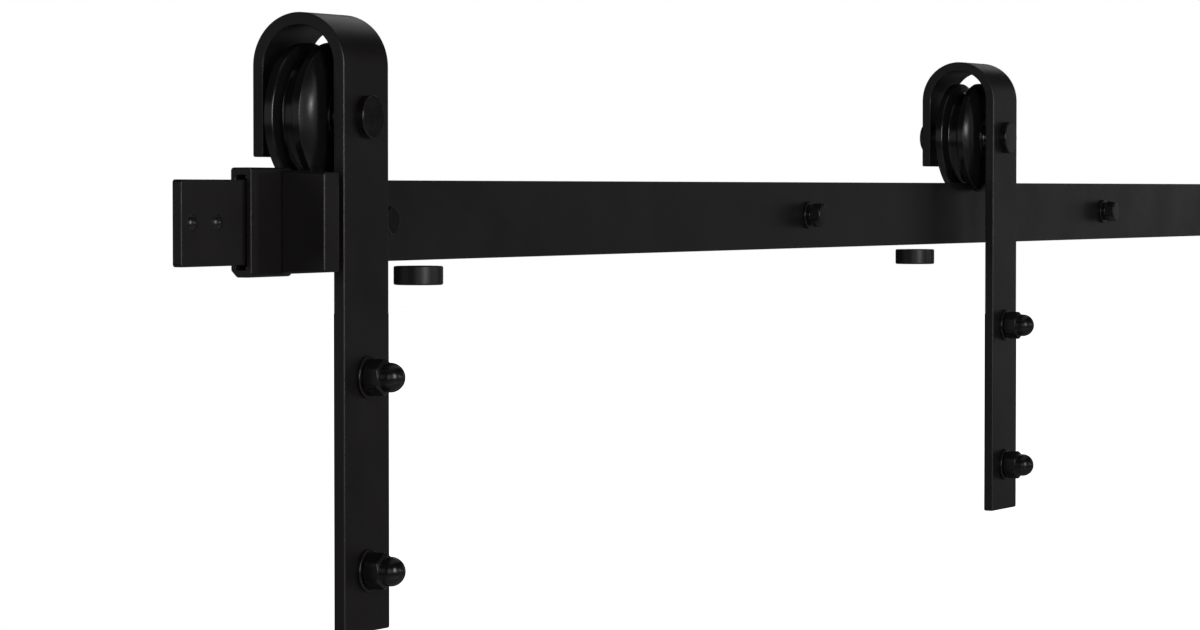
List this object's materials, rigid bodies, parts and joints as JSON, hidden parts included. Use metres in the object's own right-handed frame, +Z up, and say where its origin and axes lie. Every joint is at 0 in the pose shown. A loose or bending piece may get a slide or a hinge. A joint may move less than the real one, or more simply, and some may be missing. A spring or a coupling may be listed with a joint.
{
  "type": "sliding door track",
  "caption": "Flat black sliding barn door rail on wall spacers, with two J-strap hangers on grooved rollers, end stops and anti-jump discs.",
  "frame": {"origin": "on the wall's face, at the middle of the row of wall bolts", "axes": "+X along the rail to the right as seen from the room, -Y into the room, +Z up"},
  "size_m": [1.9, 0.1385, 0.2971],
  "materials": {
    "black_powder_coat": "satin fine powder coat",
    "wheel_black": "satin black over a turned wheel",
    "black_fasteners": "semi-gloss black coat",
    "zinc_steel": "zinc plated",
    "bearing_steel": "ground and polished",
    "cage_brass": "pressed sheet",
    "rubber_pad": "matte"
  },
  "bodies": {
    "track": {"track_rail": "black_powder_coat", "rail_spacer_1": "black_powder_coat", "rail_spacer_2": "black_powder_coat", "rail_spacer_3": "black_powder_coat", "rail_spacer_4": "black_powder_coat", "rail_bolt_1": "black_fasteners", "rail_bolt_2": "black_fasteners", "rail_bolt_3": "black_fasteners", "rail_bolt_4": "black_fasteners", "rail_washers": "black_fasteners", "left_end_rivets": "black_fasteners", "right_end_rivets": "black_fasteners", "left_stop_clamp": "black_powder_coat", "left_stop_block": "black_powder_coat", "left_stop_pad": "rubber_pad", "left_stop_screws": "zinc_steel", "left_set_screws": "zinc_steel", "right_stop_clamp": "black_powder_coat", "right_stop_block": "black_powder_coat", "right_stop_pad": "rubber_pad", "right_stop_screws": "zinc_steel", "right_set_screws": "zinc_steel"},
    "hanger_left": {"left_strap": "black_powder_coat", "left_axle_bolt": "black_fasteners", "left_axle_nut": "black_fasteners", "left_hub_spacers": "bearing_steel", "left_axle_sleeve": "bearing_steel", "left_inner_races": "bearing_steel", "left_door_studs": "zinc_steel", "left_strap_washers": "black_fasteners", "left_dome_nuts": "black_fasteners", "left_jump_disc": "black_powder_coat"},
    "wheel_left": {"left_wheel": "wheel_black", "left_outer_races": "bearing_steel", "left_bearing_shields": "bearing_steel"},
    "cage_left": {"left_bearing_balls": "bearing_steel", "left_ball_cages": "cage_brass"},
    "hanger_right": {"right_strap": "black_powder_coat", "right_axle_bolt": "black_fasteners", "right_axle_nut": "black_fasteners", "right_hub_spacers": "bearing_steel", "right_axle_sleeve": "bearing_steel", "right_inner_races": "bearing_steel", "right_door_studs": "zinc_steel", "right_strap_washers": "black_fasteners", "right_dome_nuts": "black_fasteners", "right_jump_disc": "black_powder_coat"},
    "wheel_right": {"right_wheel": "wheel_black", "right_outer_races": "bearing_steel", "right_bearing_shields": "bearing_steel"},
    "cage_right": {"right_bearing_balls": "bearing_steel", "right_ball_cages": "cage_brass"}
  },
  "joints": [
    {"name": "door_slide", "type": "slide", "parent": "track", "child": "hanger_left", "axis": [1, 0, 0], "range_m": [-0.0066, 0.8214]},
    {"name": "right_hanger_slide", "type": "slide", "parent": "track", "child": "hanger_right", "axis": [1, 0, 0], "range_m": [-0.0066, 0.8214]},
    {"name": "left_wheel_spin", "type": "hinge", "parent": "hanger_left", "child": "wheel_left", "pos_m": [-0.824, -0.038, 0.0501], "axis": [0, 1, 0], "continuous": true},
    {"name": "left_cage_spin", "type": "hinge", "parent": "hanger_left", "child": "cage_left", "pos_m": [-0.824, -0.038, 0.0501], "axis": [0, 1, 0], "continuous": true},
    {"name": "right_wheel_spin", "type": "hinge", "parent": "hanger_right", "child": "wheel_right", "pos_m": [0.009, -0.038, 0.0501], "axis": [0, 1, 0], "continuous": true},
    {"name": "right_cage_spin", "type": "hinge", "parent": "hanger_right", "child": "cage_right", "pos_m": [0.009, -0.038, 0.0501], "axis": [0, 1, 0], "continuous": true}
  ],
  "couplings": [
    {"joint": "right_hanger_slide", "follows": "door_slide", "ratio": 1},
    {"joint": "left_wheel_spin", "follows": "door_slide", "rad_per_m": 33.557},
    {"joint": "left_cage_spin", "follows": "door_slide", "rad_per_m": 20.772},
    {"joint": "right_wheel_spin", "follows": "door_slide", "rad_per_m": 33.557},
    {"joint": "right_cage_spin", "follows": "door_slide", "rad_per_m": 20.772}
  ]
}
